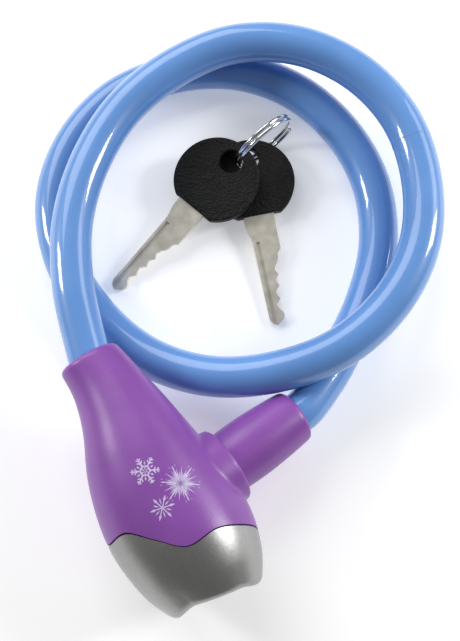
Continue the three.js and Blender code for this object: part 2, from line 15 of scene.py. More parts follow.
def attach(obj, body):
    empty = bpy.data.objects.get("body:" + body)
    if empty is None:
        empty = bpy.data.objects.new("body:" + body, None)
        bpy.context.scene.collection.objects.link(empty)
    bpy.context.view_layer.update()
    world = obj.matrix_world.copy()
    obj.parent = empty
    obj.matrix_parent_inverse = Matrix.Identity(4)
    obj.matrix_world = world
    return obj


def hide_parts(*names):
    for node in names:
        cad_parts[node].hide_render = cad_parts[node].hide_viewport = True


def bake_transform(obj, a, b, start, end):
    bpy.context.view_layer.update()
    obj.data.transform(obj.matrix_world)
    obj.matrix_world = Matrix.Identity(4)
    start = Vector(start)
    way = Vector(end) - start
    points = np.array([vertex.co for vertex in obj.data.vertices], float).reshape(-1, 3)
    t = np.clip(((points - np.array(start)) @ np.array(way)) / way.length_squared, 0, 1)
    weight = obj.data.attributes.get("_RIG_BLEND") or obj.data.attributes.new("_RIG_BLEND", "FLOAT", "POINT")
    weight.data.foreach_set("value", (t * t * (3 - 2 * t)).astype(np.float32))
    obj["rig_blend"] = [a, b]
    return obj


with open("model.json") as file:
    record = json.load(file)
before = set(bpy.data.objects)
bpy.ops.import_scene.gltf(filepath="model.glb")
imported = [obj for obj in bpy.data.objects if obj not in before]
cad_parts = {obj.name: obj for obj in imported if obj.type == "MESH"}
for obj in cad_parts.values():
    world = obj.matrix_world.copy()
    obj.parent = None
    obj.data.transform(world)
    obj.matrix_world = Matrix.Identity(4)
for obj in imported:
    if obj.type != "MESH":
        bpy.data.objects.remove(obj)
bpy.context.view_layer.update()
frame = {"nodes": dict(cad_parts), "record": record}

MM = 0.001

# ------------------------------------------------------------------ driving dimensions

ORIGIN = (11.86, 12.22)  # the part's frame, from the plan in which the lock was laid out

NECK = (-40.46, -15.67)  # centre of the cable mouth in that plan
LOCK_HEADING = -66.5  # from the mouth to the key face, degrees
WALL = 2.3

# Distance from the mouth, middle y, middle z, half width, half height of the body.
STATIONS = [
    (0, -0.1, 22.7, 8.4, 8.4),
    (10, 2.4, 22.3, 9.9, 9.7),
    (20, 3.7, 21.6, 12.3, 12.0),
    (32, 3.9, 20.4, 16.0, 15.2),
    (42, 4.5, 19.4, 18.2, 17.4),
    (52, 5.6, 18.7, 19.4, 18.5),
    (60, 6.5, 18.6, 18.8, 18.2),
    (68, 7.2, 18.7, 16.6, 16.2),
    (75, 7.9, 18.9, 12.6, 12.6),
]
BODY_END = STATIONS[-1][0]
MOUTH_START = 1.4
MOUTH_TILT_SIDE = -1.15  # how far the mouth's rim is pushed along x at its +y side
MOUTH_TILT_TOP = 0.55  # and at its top
MOUTH_REACH = 16  # the mouth's lean dies out here
MOUTH_ROUND = 1.6
END_TILT_SIDE = 0.85  # the same for the key face
END_TILT_TOP = 1.7
END_REACH = 62  # the key face's lean and dish start here
END_ROUND = 1.8
DISH = 1.4  # depth of the upright channel across the key face
DISH_EDGES = (0.5, 0.95)  # parts of the half width where its side starts and ends
LIP = 1.3  # extra push along x at the -y edge of the key face
KEY_HOLE_AXIS = (9.6, 19.0)  # y and z of the key cylinder
# Radius and height of the sides of the two openings.
KEY_HOLE_SIDE = [(4.7, 60), (4.7, 73.2), (5.6, 80)]
MOUTH_BORE = [(6.9, -14), (6.9, -7.6), (6.45, -5.8), (6.45, 0), (6.9, 12)]
SKIN_STATIONS = 60  # along the body's first rough skin
INNER_STATIONS = 30
INNER_START = 10  # where the hollow inside the body begins
VOXEL = 0.5
SETTLE_ROUNDS = 5
SETTLE_STEP = 0.02

# Angle round the body and distance from the mouth of the joint between shell and cap.
SEAM = [
    (0, 63.4),
    (35, 60.8),
    (62, 59.2),
    (90, 60.4),
    (112, 55.6),
    (133, 51.0),
    (158, 51.3),
    (180, 51.0),
]
SEAM_MIDDLE = 57
SEAM_AXIS = (6, 18.6)  # y and z that the joint is laid out round
SEAM_GAP = 0.1
SEAM_CHAMFER = 0.22
SEAM_CHAMFER_FROM = -0.5  # the chamfer starts and ends this far out from the skin
SEAM_CHAMFER_TO = 0.6
SEAM_SIDES = 240
SEAM_TOOL_REACH = 25
SEAM_TOOL_BACK = -20

SOCKET_RIM = (43.0, 24.95, 15.9)
SOCKET_HEADING = 103
SOCKET_DIP = 10
BOSS_RADIUS = 10.9
BOSS_RIM = -0.5  # the rim is rounded back by this much
BOSS_ROOT = -11
BOSS_SLOPE = 0.15  # how much wider the collar grows with each millimetre from its rim
BOSS_RIM_ROUND = 0.8
BOSS_BLEND = 0.65  # how softly the collar runs into the body
BOSS_FLARE = 0.35  # the bore's rounded lip
BOSS_BORE = 9.15
BOSS_BORE_DEPTH = 4
BOSS_THROAT = 4.7
BOSS_THROAT_DEPTH = 12
CUTTER_OVERSHOOT = 4  # how far a cutter stands out past the face that it cuts

SLEEVE_SIDE = [(8.8, -1.7), (8.8, 1), (8.95, 7), (8.75, 13), (8.35, 18.5), (7.95, 22.7)]
SLEEVE_END = 24
CUP_RADIUS = 5.3
CUP_END = 17
SLEEVE_END_ROUND = 1.25
SLEEVE_ROOM = 0.3  # between the sleeve and what it covers
MOULD_LINE_ANGLE = 207  # round the sleeve, degrees
MOULD_LINE_WIRE = 0.07

# Radius, height and rounding of each corner of the pin, its flange and its crimp cup.
PIN_CORNERS = [
    (0, -21, 0),
    (2.8, -21, 0.3),
    (4, -19.6, 0.4),
    (4, -17.1, 0.2),
    (2.5, -17.1, 0.2),
    (2.5, -12.9, 0.2),
    (4, -12.9, 0.2),
    (4, -3.7, 0.3),
    (7, -3.7, 0.3),
    (7, -2.1, 0.3),
    (CUP_RADIUS, -2.1, 0),
    (CUP_RADIUS, CUP_END - 0.4, 0.3),
    (3.3, CUP_END - 0.4, 0.2),
    (3.3, 1, 0.2),
    (0, 1, 0),
]

CABLE_RADIUS = 6
CABLE_HIDDEN = 7
CABLE_HEADING = -70
CABLE_STEP = 1.2
CABLE_SIDES = 40
CABLE_MARK = 196  # where a faint witness line runs round the cable
CABLE_MARK_RISE = 0.06
CABLE_MARK_HALF_WIDTH = 0.14
CABLE_ROUTE = [
    (-39.6, -15.5, 22.7),
    (-44.5, 4.0, 23.0),
    (-45.5, 23.9, 22.5),
    (-41.1, 43.4, 21.3),
    (-31.7, 61.0, 20.2),
    (-17.1, 74.5, 19.6),
    (1.0, 82.7, 19.5),
    (20.9, 82.1, 19.8),
    (38.6, 73.0, 20.1),
    (51.1, 57.5, 20.4),
    (56.3, 38.3, 21.0),
    (55.1, 18.4, 21.5),
    (46.5, 0.6, 21.6),
    (31.7, -13.1, 20.7),
    (13.2, -19.5, 16.7),
    (-6.2, -19.7, 11.8),
    (-24.6, -12.9, 8.1),
    (-39.8, 0.3, 6.3),
    (-50.3, 17.2, 6.1),
    (-54.0, 36.7, 6.1),
    (-48.8, 56.0, 6.1),
    (-36.3, 71.4, 6.1),
    (-18.4, 79.7, 6.1),
    (1.5, 81.0, 6.1),
    (20.2, 74.1, 6.1),
    (34.7, 60.4, 6.1),
    (43.6, 42.5, 6.1),
    (45.2, 22.7, 6.1),
    (40.2, 3.4, 6.3),
    (31.2, -14.4, 7.9),
    (26.2, -22.4, 9.6),
    (21.6, -28.6, 11.2),
]

KEY_HEAD_RADIUS = 13.3
KEY_HEAD_THICK = 3
KEY_HOLE_RADIUS = 3.6
KEY_HOLE_TO_MIDDLE = 7.0
KEY_CHORD = 11.4
KEY_BLADE_THICK = 1.8
KEY_BLADE_LENGTH = 53.2
KEY_HEAD_EDGE = 0.45  # how far the head's edges are rounded
KEY_BLADE_EDGE = 0.12
KEY_TIP_CLEAR = 0.15  # height of the blade's tip over the table
KEY_RIM_LINE = (2.3, 1.7, 0.09)  # from the head's edge: inner and outer side; and depth
KEY_GROOVE_START = 26.8
KEY_GROOVE_SIDES = (-3.1, -1.9)
KEY_GROOVE_DEPTH = 0.5
KEYS = [
    ("key_1", (0.6, 48.2, 7.3), (-34.5, 7.9)),
    ("key_2", (5.4, 50.8, 3.2), (16.1, 0.1)),
]
# Distance from the ring hole and height over the blade's middle of its cut edge.
KEY_CUTS = [
    (30.0, 4.1),
    (30.6, 3.4),
    (31.4, 2.9),
    (32.6, 2.8),
    (33.6, 2.4),
    (35.0, 1.4),
    (36.3, 0.9),
    (37.2, 1.3),
    (37.9, 1.7),
    (38.6, 1.2),
    (39.4, 0.6),
    (40.5, 0.8),
    (41.4, 1.2),
    (42.2, 0.5),
    (43.2, -0.2),
    (44.4, 0.1),
    (45.4, 0.6),
    (46.2, -0.1),
    (47.2, -0.8),
    (48.4, -0.4),
    (49.6, 0.6),
    (50.5, 0.8),
    (51.6, 0.4),
    (52.6, -0.8),
]
# The same for the rest of its outline: along the back to the tip, and the shoulder.
KEY_BACK = [
    (9.6, -4.3),
    (16.5, -4.8),
    (19.5, -5.2),
    (22.0, -5.0),
    (25.5, -4.1),
    (27.0, -4.0),
    (51.2, -4.0),
    (52.5, -3.2),
    (KEY_BLADE_LENGTH, -1.9),
]
KEY_SHOULDER = [(18.7, 4.4), (9.6, 4.3)]

RING_NEAR = (1.35, 48.4)
RING_HEADING = 39
RING_LEAN = 6
RING_OUTER = 10.7
RING_WIRE = 0.6
RING_CLEAR = 0.05  # height of the ring over the table
RING_PITCH = 1.36
RING_TURNS = 1.96
RING_STEPS = 260

CAMERA_ELEVATION = 75  # degrees above the table, looking along +Y
CAMERA_DISTANCE = 305
CAMERA_LENS = 100
CAMERA_SENSOR = 46
CAMERA_CLIP = (0.01, 10)  # metres

# ------------------------------------------------------------------ places


def plan_matrix():
    """From the plan the lock was laid out in to the part's frame."""
    return Matrix.Translation((ORIGIN[0], ORIGIN[1], 0))


def lock_matrix():
    turn = Matrix.Rotation(math.radians(LOCK_HEADING), 4, "Z")
    return plan_matrix() @ Matrix.Translation((NECK[0], NECK[1], 0)) @ turn


def socket_in_lock():
    """The socket's own frame in the lock body's: z = 0 at the rim, +z leaves it."""
    tip = Matrix.Rotation(math.pi / 2 + math.radians(SOCKET_DIP), 4, "Y")
    turn = Matrix.Rotation(math.radians(SOCKET_HEADING), 4, "Z")
    return Matrix.Translation(SOCKET_RIM) @ turn @ tip


def socket_matrix():
    return lock_matrix() @ socket_in_lock()


def key_heading(hole, tip):
    return math.atan2(tip[1] - hole[1], tip[0] - hole[0])


def key_matrix(hole, tip):
    """A key's own frame: +x from the ring hole to the tip, underside at z = 0."""
    run = math.hypot(tip[0] - hole[0], tip[1] - hole[1])
    drop = hole[2] + (KEY_HEAD_THICK - KEY_BLADE_THICK) / 2 - KEY_TIP_CLEAR
    turn = Matrix.Rotation(key_heading(hole, tip), 4, "Z")
    tilt = Matrix.Rotation(math.atan2(drop, run), 4, "Y")
    return plan_matrix() @ Matrix.Translation(hole) @ turn @ tilt


def ring_matrix():
    heading = math.radians(RING_HEADING)
    x = RING_NEAR[0] + RING_OUTER * math.cos(heading)
    y = RING_NEAR[1] + RING_OUTER * math.sin(heading)
    lean = math.radians(RING_LEAN)
    aside = RING_OUTER * math.sin(lean)
    standing = RING_OUTER * math.cos(lean) + 2 * RING_WIRE * abs(math.sin(lean)) + RING_CLEAR
    middle = (x + aside * math.sin(heading), y - aside * math.cos(heading), standing)
    place = Matrix.Translation(middle)
    return plan_matrix() @ place @ Matrix.Rotation(heading, 4, "Z") @ Matrix.Rotation(lean, 4, "X")


def moved(points, matrix):
    m = np.array(matrix)
    return points @ m[:3, :3].T + m[:3, 3]


# ------------------------------------------------------------------ mesh helpers


def new_piece(name, points, faces, matrix=None):
    """A mesh object from points in millimetres."""
    points = np.asarray(points, float)
    if matrix is not None:
        points = moved(points, matrix)
    mesh = bpy.data.meshes.new(name)
    mesh.from_pydata((points * MM).tolist(), [], faces)
    mesh.validate()
    piece = bpy.data.objects.new(name, mesh)
    bpy.context.scene.collection.objects.link(piece)
    face_out(piece)
    shade(piece)
    return piece


def face_out(piece):
    """Joins points that coincide and turns every face outwards."""
    work = bmesh.new()
    work.from_mesh(piece.data)
    bmesh.ops.remove_doubles(work, verts=work.verts, dist=1e-7)
    bmesh.ops.recalc_face_normals(work, faces=work.faces)
    work.to_mesh(piece.data)
    work.free()


def shade(piece, angle=35):
    """Smooth shading with edges sharper than an angle kept crisp."""
    piece.data.shade_smooth()
    piece.data.set_sharp_from_angle(angle=math.radians(angle))


def flatten(piece, matrix):
    """Shades the faces square to a matrix's own z as truly flat."""
    up = (matrix.to_3x3() @ Vector((0, 0, 1))).normalized()
    for face in piece.data.polygons:
        if abs(face.normal.dot(up)) > 0.9995:
            face.use_smooth = False


def grid_faces(rows, columns, wrap_rows=False):
    """Faces between rings of points, each ring closed on itself."""
    faces = []
    for r in range(rows if wrap_rows else rows - 1):
        for c in range(columns):
            here = r * columns
            below = (r + 1) % rows * columns
            beside = (c + 1) % columns
            faces.append((here + c, here + beside, below + beside, below + c))
    return faces


def ring_angles(sides):
    return np.linspace(0, 2 * math.pi, sides, endpoint=False)


def loft(rings, closed=False):
    """Points and faces of a skin over rings of points; its ends are shut unless it is closed."""
    count, sides = len(rings), len(rings[0])
    faces = grid_faces(count, sides, wrap_rows=closed)
    if not closed:
        faces.append(tuple(range(sides)))
        faces.append(tuple(range((count - 1) * sides, count * sides)))
    return np.concatenate(rings), faces


def turned(name, profile, sides=96, matrix=None):
    """A solid turned about +z from (radius, height) pairs: open ends close on the axis."""
    closed = profile[0] == profile[-1]
    rows = profile[:-1] if closed else profile
    angles = ring_angles(sides)
    circle = np.stack([np.cos(angles), np.sin(angles)], axis=1)
    rings = [
        np.column_stack([max(radius, 1e-4) * circle, np.full(sides, height)])
        for radius, height in rows
    ]
    points, faces = loft(rings, closed)
    return new_piece(name, points, faces, matrix)


def rounded(corner, before, after, radius, count=5):
    """Points of a round corner of a profile, between two neighbouring corners."""
    c, a, b = (np.array(p, float) for p in (corner, before, after))
    to_a = (a - c) / np.linalg.norm(a - c)
    to_b = (b - c) / np.linalg.norm(b - c)
    steps = np.linspace(0, 1, count + 1)
    start, end = c + to_a * radius, c + to_b * radius
    return [tuple((1 - t) ** 2 * start + 2 * t * (1 - t) * c + t * t * end) for t in steps]


def round_profile(corners, radii):
    """A profile with its corners rounded; a radius of 0 keeps the corner sharp."""
    points = []
    for i, (corner, radius) in enumerate(zip(corners, radii)):
        if radius and 0 < i < len(corners) - 1:
            points += rounded(corner, corners[i - 1], corners[i + 1], radius)
        else:
            points.append(corner)
    return points


def apply_modifiers(piece):
    graph = bpy.context.evaluated_depsgraph_get()
    baked = bpy.data.meshes.new_from_object(piece.evaluated_get(graph))
    piece.modifiers.clear()
    piece.data = baked


def boolean(piece, tool, operation):
    change = piece.modifiers.new("cut", "BOOLEAN")
    change.operation = operation
    change.solver = "MANIFOLD"
    change.object = tool
    apply_modifiers(piece)
    bpy.data.objects.remove(tool)


def between(rows, place, column):
    """A smooth value between given stations, for an array of places."""
    table = np.array(rows, float)
    x, y = table[:, 0], table[:, column]
    last = len(x) - 1
    at = np.clip(place, x[0], x[-1])
    i = np.clip(np.searchsorted(x, at, side="right") - 1, 0, last - 1)
    low = np.maximum(np.arange(last + 1) - 1, 0)
    high = np.minimum(np.arange(last + 1) + 1, last)
    slope = (y[high] - y[low]) / (x[high] - x[low])
    span = x[i + 1] - x[i]
    t = (at - x[i]) / span
    rise = 3 * t**2 - 2 * t**3
    bend_in = t * (1 - t) ** 2 * span * slope[i]
    bend_out = t**2 * (t - 1) * span * slope[i + 1]
    return y[i] + (y[i + 1] - y[i]) * rise + bend_in + bend_out


def smoothstep(value, low, high):
    t = np.clip((value - low) / (high - low), 0, 1)
    return t * t * (3 - 2 * t)


# ------------------------------------------------------------------ camera


def make_camera():
    data = bpy.data.cameras.new("camera")
    camera = bpy.data.objects.new("camera", data)
    bpy.context.scene.collection.objects.link(camera)
    data.sensor_fit = "HORIZONTAL"
    data.sensor_width = CAMERA_SENSOR
    data.lens = CAMERA_LENS
    data.clip_start, data.clip_end = CAMERA_CLIP
    tilt = math.radians(CAMERA_ELEVATION)
    back = Vector((0, -math.cos(tilt), math.sin(tilt)))
    camera.location = (Vector((ORIGIN[0], ORIGIN[1], 0)) + back * CAMERA_DISTANCE) * MM
    camera.rotation_euler = (math.pi / 2 - tilt, 0, 0)
    bpy.context.scene.camera = camera


make_camera()

# ------------------------------------------------------------------ the cable


def spline(points, per_span):
    """Points along the uniform Catmull-Rom curve through the given points."""
    p = [np.array(q, float) for q in points]
    p = [2 * p[0] - p[1], *p, 2 * p[-1] - p[-2]]
    line = []
    for a, b, c, d in zip(p, p[1:], p[2:], p[3:]):
        for t in np.arange(per_span) / per_span:
            square = (2 * a - 5 * b + 4 * c - d) * t**2
            cube = (3 * b - a - 3 * c + d) * t**3
            line.append(0.5 * (2 * b + (c - a) * t + square + cube))
    return np.array([*line, p[-2]])


def evenly(line, step):
    """The same line with points a given distance apart."""
    gone = np.concatenate([[0], np.cumsum(np.linalg.norm(np.diff(line, axis=0), axis=1))])
    stops = np.linspace(0, gone[-1], int(gone[-1] / step) + 1)
    return np.stack([np.interp(stops, gone, line[:, k]) for k in range(3)], axis=1)


def cable_line():
    heading = math.radians(CABLE_HEADING)
    inward = np.array([math.cos(heading), math.sin(heading), 0])
    start = np.array(CABLE_ROUTE[0]) + inward * CABLE_HIDDEN
    socket = plan_matrix().inverted() @ socket_matrix()
    ends = [tuple(socket @ Vector((0, 0, along))) for along in (SLEEVE_END, CUP_END + 0.5)]
    line = evenly(spline([start, *CABLE_ROUTE, *ends], 24), CABLE_STEP)
    return moved(line, plan_matrix())


def tube_along(line, radius, sides):
    """Points and faces of a round tube along a line, carried without twist."""
    tangents = np.gradient(line, axis=0)
    tangents /= np.linalg.norm(tangents, axis=1)[:, None]
    side = np.cross(tangents[0], (0, 0, 1))
    side /= np.linalg.norm(side)
    angles = ring_angles(sides)
    across, along = np.cos(angles), np.sin(angles)
    rings = []
    for place, tangent in zip(line, tangents):
        side = side - tangent * np.dot(side, tangent)
        side /= np.linalg.norm(side)
        up = np.cross(side, tangent)
        rings.append(place + radius * (np.outer(across, side) + np.outer(along, up)))
    return loft(rings)


def make_cable():
    line = cable_line()
    points, faces = tube_along(line, CABLE_RADIUS, CABLE_SIDES)
    return new_piece("vinyl_cable", points, faces), line


def make_cable_mark(at):
    """A thin raised witness line round the cable, at a distance along it."""
    place = round(at / CABLE_STEP)
    tangent = cable_path[place + 1] - cable_path[place]
    turn = Vector(tangent).to_track_quat("Z", "Y").to_matrix().to_4x4()
    round_edge = np.linspace(0, 2 * math.pi, 9)
    profile = [
        (CABLE_RADIUS + CABLE_MARK_RISE * math.cos(a), CABLE_MARK_HALF_WIDTH * math.sin(a))
        for a in round_edge
    ]
    profile[-1] = profile[0]
    return turned("cable_mark", profile, 96, Matrix.Translation(cable_path[place]) @ turn)


cable, cable_path = make_cable()
cable_mark = make_cable_mark(CABLE_MARK)

# ------------------------------------------------------------------ the lock body


def section(x):
    return [between(STATIONS, x, column) for column in (1, 2, 3, 4)]


def end_shift(x, cosine, sine, reach):
    """How far the body's ends are pushed along x: the tilted mouth and the key face."""
    side, up = cosine * reach, sine * reach
    near_mouth = 1 - smoothstep(x, MOUTH_START, MOUTH_REACH)
    near_end = smoothstep(x, END_REACH, BODY_END)
    mouth = MOUTH_TILT_SIDE * side + MOUTH_TILT_TOP * up
    lean = END_TILT_SIDE * side + END_TILT_TOP * up
    dish = DISH * (1 - smoothstep(np.abs(side), *DISH_EDGES))
    corner = np.maximum(0, -cosine - 0.5) * 2 * smoothstep(reach, 0.75, 0.95)
    return near_mouth * mouth + near_end * (lean - dish + LIP * corner)


def body_point(x, angle, reach=1.0, inset=0.0):
    """A point of the body: angle round it, and reach from 0 at its middle to 1 at its skin."""
    middle_y, middle_z, half_width, half_height = section(x)
    cosine, sine = np.cos(angle), np.sin(angle)
    return np.stack(
        [
            x + end_shift(x, cosine, sine, reach),
            middle_y + cosine * reach * (half_width - inset),
            middle_z + sine * reach * (half_height - inset),
        ],
        axis=-1,
    )


def soft_max(a, b, reach):
    h = np.maximum(reach - np.abs(a - b), 0) / reach
    return np.maximum(a, b) + h * h * reach / 4


def soft_min(a, b, reach):
    return -soft_max(-a, -b, reach)


def body_field(points):
    """Roughly the distance from the body's skin, negative inside."""
    x, y, z = points.T
    for _ in range(2):
        middle_y, middle_z, half_width, half_height = section(x)
        side, up = (y - middle_y) / half_width, (z - middle_z) / half_height
        reach = np.maximum(np.hypot(side, up), 1e-6)
        shift = end_shift(x, side / reach, up / reach, np.minimum(reach, 1))
        x = points[:, 0] - shift
    middle_y, middle_z, half_width, half_height = section(x)
    side, up = (y - middle_y) / half_width, (z - middle_z) / half_height
    reach = np.maximum(np.hypot(side, up), 1e-6)
    away = np.hypot(y - middle_y, z - middle_z)
    skin = away * (1 - 1 / reach)
    return soft_max(soft_max(skin, x - BODY_END, END_ROUND), MOUTH_START - x, MOUTH_ROUND)


def boss_field(points):
    """The same for the collar that the plug goes into."""
    local = moved(points, socket_in_lock().inverted())
    away = np.hypot(local[:, 0], local[:, 1])
    radius = BOSS_RADIUS - BOSS_SLOPE * local[:, 2]
    field = soft_max(away - radius, local[:, 2] - BOSS_RIM, BOSS_RIM_ROUND)
    return soft_max(field, BOSS_ROOT - local[:, 2], 0.5)


def skin_field(points):
    return soft_min(body_field(points), boss_field(points), BOSS_BLEND)


def settle_on(field, points):
    """Moves points onto the surface where a field is zero."""
    moves = np.eye(3) * SETTLE_STEP
    for _ in range(SETTLE_ROUNDS):
        value = field(points)
        rises = [field(points + move) - field(points - move) for move in moves]
        slope = np.stack(rises, axis=1) / (2 * SETTLE_STEP)
        steepness = np.maximum((slope**2).sum(axis=1), 1e-6)
        points = points - slope * (value / steepness)[:, None]
    return points


def body_solid(name, stations, sides, inset=0.0):
    """A closed loft of the body in the lock's own frame."""
    angles = ring_angles(sides)
    rings = [body_point(np.full(sides, x), angles, reach, inset) for x, reach in stations]
    return new_piece(name, *loft(rings))


def points_of(piece):
    points = np.empty(len(piece.data.vertices) * 3)
    piece.data.vertices.foreach_get("co", points)
    return points.reshape(-1, 3) / MM


def set_points(piece, points):
    piece.data.vertices.foreach_set("co", (points * MM).ravel())
    piece.data.update()


def make_skin():
    """The lock body's outside as one smooth closed surface, in the lock's own frame."""
    stations = [(x, 1.0) for x in np.linspace(MOUTH_START + 0.3, BODY_END - 0.3, SKIN_STATIONS)]
    rough = body_solid("skin", stations, 96)
    root_radius = BOSS_RADIUS - BOSS_SLOPE * BOSS_ROOT
    boss = turned("boss", [(root_radius, BOSS_ROOT), (BOSS_RADIUS, 0)], 96, socket_in_lock())
    boolean(rough, boss, "UNION")
    change = rough.modifiers.new("even", "REMESH")
    change.mode = "VOXEL"
    change.voxel_size = VOXEL * MM
    apply_modifiers(rough)
    set_points(rough, settle_on(skin_field, points_of(rough)))
    return rough


def seam_tool(name, shift, chamfer):
    """A solid that holds everything on the mouth's side of the wavy joint."""
    angles = ring_angles(SEAM_SIDES)
    across, up = np.cos(angles), np.sin(angles)
    wave = between(SEAM, np.degrees(np.abs(np.arctan2(up, across))), 1) - SEAM_MIDDLE
    _, _, half_width, half_height = section(SEAM_MIDDLE + wave)
    skin = 1 / np.hypot(across / half_width, up / half_height)
    back = SEAM_TOOL_BACK + 0 * wave
    rings = []
    for radius, x in (
        (0.01 * skin, SEAM_MIDDLE + shift + 0 * wave),
        (0.4 * skin, SEAM_MIDDLE + shift + wave),
        (skin + SEAM_CHAMFER_FROM, SEAM_MIDDLE + shift + wave),
        (skin + SEAM_CHAMFER_TO, SEAM_MIDDLE + shift + wave + chamfer),
        (skin + SEAM_TOOL_REACH, SEAM_MIDDLE + shift + wave + chamfer),
        (skin + SEAM_TOOL_REACH, back),
        (0.01 * skin, back),
    ):
        y, z = SEAM_AXIS[0] + radius * across, SEAM_AXIS[1] + radius * up
        rings.append(np.stack([x, y, z], axis=1))
    return new_piece(name, *loft(rings))


def along_x(y, z):
    return Matrix.Translation((0, y, z)) @ Matrix.Rotation(math.pi / 2, 4, "Y")


def cable_end_in_lock():
    """The end of the sheath: z = 0 there, and +z runs deeper into the body."""
    back = lock_matrix().inverted()
    first, second = (back @ Vector(p) for p in (cable_path[0], cable_path[2]))
    turn = (first - second).to_track_quat("Z", "Y").to_matrix().to_4x4()
    return Matrix.Translation(first) @ turn


def flared(radius, flare, depth):
    """A cutter for a bore with a rounded lip: z = 0 at the face, the bore below it."""
    angles = np.linspace(0, math.pi / 2, 7)
    lip = [
        (radius + flare * (1 - math.cos(a)), BOSS_RIM - flare * (1 - math.sin(a))) for a in angles
    ]
    return [(radius, -depth), *lip, (radius + flare, CUTTER_OVERSHOOT)]


def make_body():
    """The violet shell and the silver cap, cut from one skin."""
    skin = make_skin()
    stations = [(x, 1.0) for x in np.linspace(INNER_START, BODY_END - WALL, INNER_STATIONS)]
    socket = socket_in_lock()
    bore = flared(BOSS_BORE, BOSS_FLARE, BOSS_BORE_DEPTH)
    for cutter in (
        body_solid("inner", stations, 72, WALL),
        turned("bore", bore, 96, socket),
        turned("throat", [(BOSS_THROAT, -BOSS_THROAT_DEPTH), (BOSS_THROAT, 0)], 64, socket),
        turned("mouth", MOUTH_BORE, 96, cable_end_in_lock()),
        turned("key_hole", KEY_HOLE_SIDE, 64, along_x(*KEY_HOLE_AXIS)),
    ):
        boolean(skin, cutter, "DIFFERENCE")
    cap = skin.copy()
    cap.data = skin.data.copy()
    cap.name = "silver_cap"
    bpy.context.scene.collection.objects.link(cap)
    boolean(skin, seam_tool("before", 0, -SEAM_CHAMFER), "INTERSECT")
    boolean(cap, seam_tool("after", SEAM_GAP, SEAM_CHAMFER), "DIFFERENCE")
    skin.name = "violet_shell"
    for piece in (skin, cap):
        set_points(piece, moved(points_of(piece), lock_matrix()))
        shade(piece, 30)
    return skin, cap


shell, cap = make_body()

# ------------------------------------------------------------------ plug


def make_sleeve():
    """The plastic sleeve over the crimped end of the cable."""
    table = [(height, radius) for radius, height in SLEEVE_SIDE[1:]]
    heights = np.linspace(table[0][0], table[-1][0], 24)
    side = list(zip(between(table, heights, 1), heights))
    last_radius, last = SLEEVE_SIDE[-1]
    inner = CABLE_RADIUS + SLEEVE_ROOM
    start = (CUP_RADIUS + SLEEVE_ROOM, SLEEVE_SIDE[0][1])
    corner = (last_radius - 0.25, SLEEVE_END)
    end_round = rounded(corner, (last_radius, last), (inner, SLEEVE_END), SLEEVE_END_ROUND, 8)
    profile = [
        start,
        SLEEVE_SIDE[0],
        *side,
        *end_round,
        (inner, SLEEVE_END),
        (inner, CUP_END + 0.1),
        (start[0], CUP_END + 0.1),
        start,
    ]
    return turned("plug_cover", profile, 128, socket_matrix())


def make_pin():
    """The locking pin with its groove, flange and crimp cup."""
    corners = [(radius, height) for radius, height, _ in PIN_CORNERS]
    profile = round_profile(corners, [rounding for _, _, rounding in PIN_CORNERS])
    return turned("steel_pin", profile, 96, socket_matrix())


def make_mould_line():
    """The faint parting line along one side of the sleeve."""
    angle = math.radians(MOULD_LINE_ANGLE)
    table = [(height, radius) for radius, height in SLEEVE_SIDE[1:]]
    heights = np.linspace(1.5, table[-1][0] - 0.3, 30)
    radii = between(table, heights, 1)
    line = np.stack([radii * math.cos(angle), radii * math.sin(angle), heights], axis=1)
    points, faces = tube_along(line, MOULD_LINE_WIRE, 8)
    return new_piece("mould_line", points, faces, socket_matrix())


sleeve = make_sleeve()
mould_line = make_mould_line()
pin = make_pin()

# ------------------------------------------------------------------ keys and ring


def arc(middle, radius, start, end, count):
    x, y = middle
    angles = np.linspace(start, end, count)
    return [(x + radius * math.cos(a), y + radius * math.sin(a)) for a in angles]


def flat_solid(name, outline, holes, low, high, bevel, matrix):
    """A plate with softly rounded edges from closed outlines, z from low to high."""
    data = bpy.data.curves.new(name, "CURVE")
    data.dimensions = "2D"
    data.fill_mode = "BOTH"
    for loop in (outline, *holes):
        line = data.splines.new("POLY")
        line.points.add(len(loop) - 1)
        line.use_cyclic_u = True
        for point, (x, y) in zip(line.points, loop):
            point.co = (x, y, 0, 1)
    data.extrude = (high - low) / 2 - bevel
    data.bevel_depth = bevel
    data.bevel_resolution = 3
    data.offset = -bevel
    holder = bpy.data.objects.new(name, data)
    bpy.context.scene.collection.objects.link(holder)
    graph = bpy.context.evaluated_depsgraph_get()
    mesh = bpy.data.meshes.new_from_object(holder.evaluated_get(graph))
    bpy.data.objects.remove(holder)
    mesh.name = name
    piece = bpy.data.objects.new(name, mesh)
    bpy.context.scene.collection.objects.link(piece)
    points = np.empty(len(mesh.vertices) * 3)
    mesh.vertices.foreach_get("co", points)
    points = points.reshape(-1, 3)
    points[:, 2] += (high + low) / 2
    set_points(piece, moved(points, matrix))
    face_out(piece)
    shade(piece, 40)
    return piece


